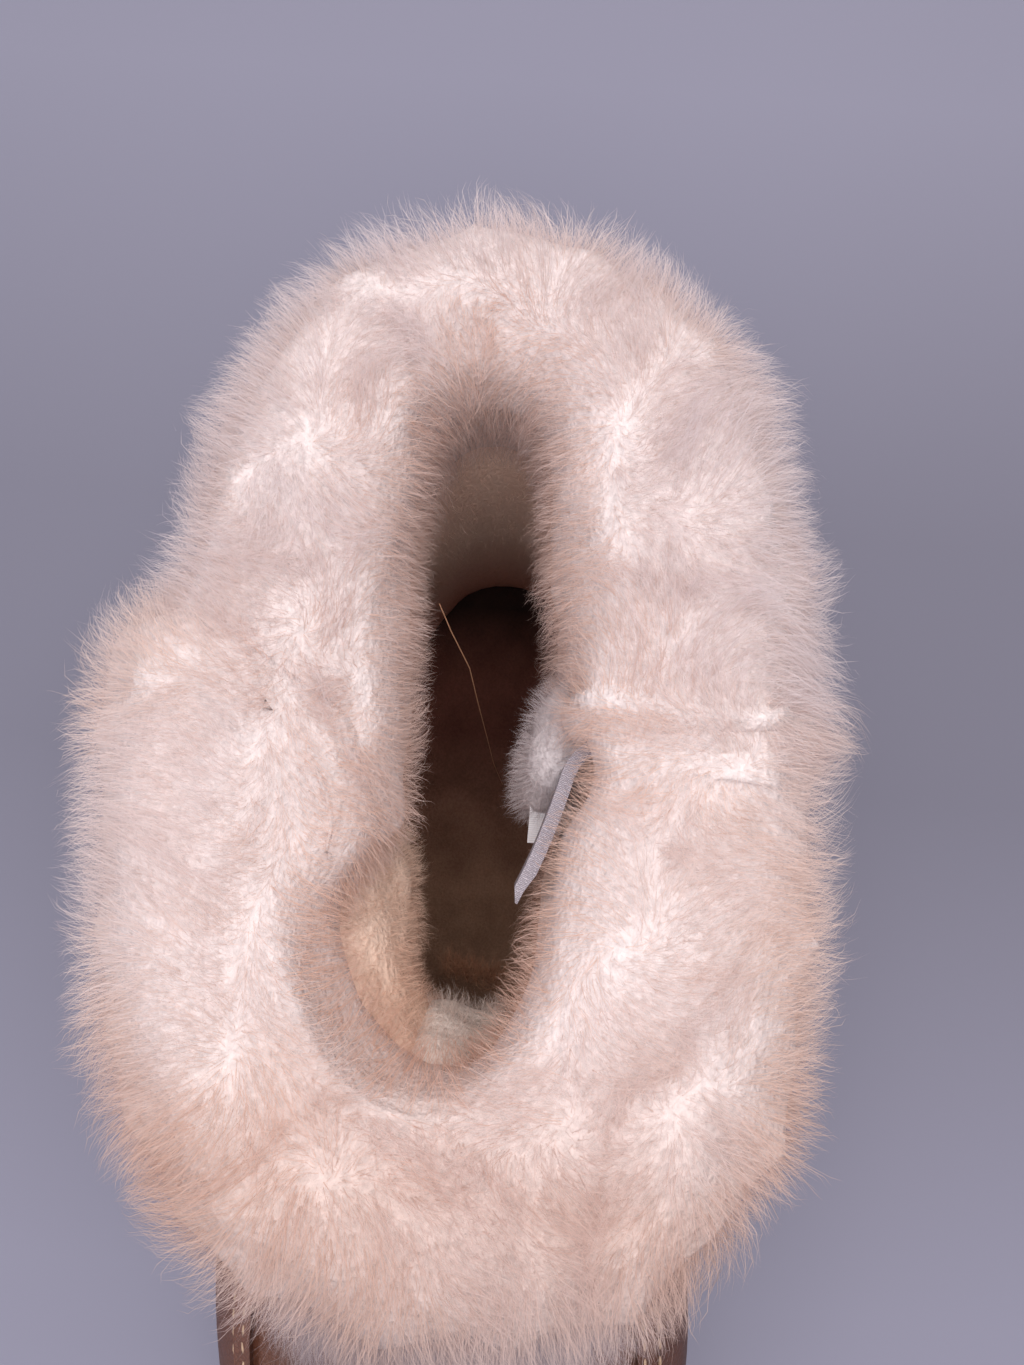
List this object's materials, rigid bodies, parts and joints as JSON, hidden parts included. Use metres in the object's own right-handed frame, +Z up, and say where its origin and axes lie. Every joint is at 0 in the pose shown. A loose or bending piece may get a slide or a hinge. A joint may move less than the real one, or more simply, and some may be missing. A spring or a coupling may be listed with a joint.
{
  "type": "mukluk boot",
  "caption": "Right ankle boot of brown leather with moccasin apron, lugged rubber sole and a thick folded sheepskin cuff in two halves.",
  "frame": {"origin": "on the floor under the middle of the heel seat", "axes": "+X to the toe, +Y to the boot's inner (medial) side, +Z up out of the collar"},
  "size_m": [0.305, 0.1245, 0.1746],
  "materials": {
    "outsole": "matt moulded rubber",
    "insole": "worn grey-brown felt",
    "upper": "grained brown leather",
    "apron": "grained brown leather",
    "cuff_front": "long cream sheepskin wool",
    "cuff_back": "long cream sheepskin wool",
    "pull_loop": "woven grey webbing",
    "blank_label": "plain white woven tape"
  },
  "bodies": {
    "root": {"outsole": "outsole", "insole": "insole", "upper": "upper", "apron": "apron", "cuff_front": "cuff_front", "cuff_back": "cuff_back", "pull_loop": "pull_loop", "blank_label": "blank_label"}
  },
  "joints": []
}
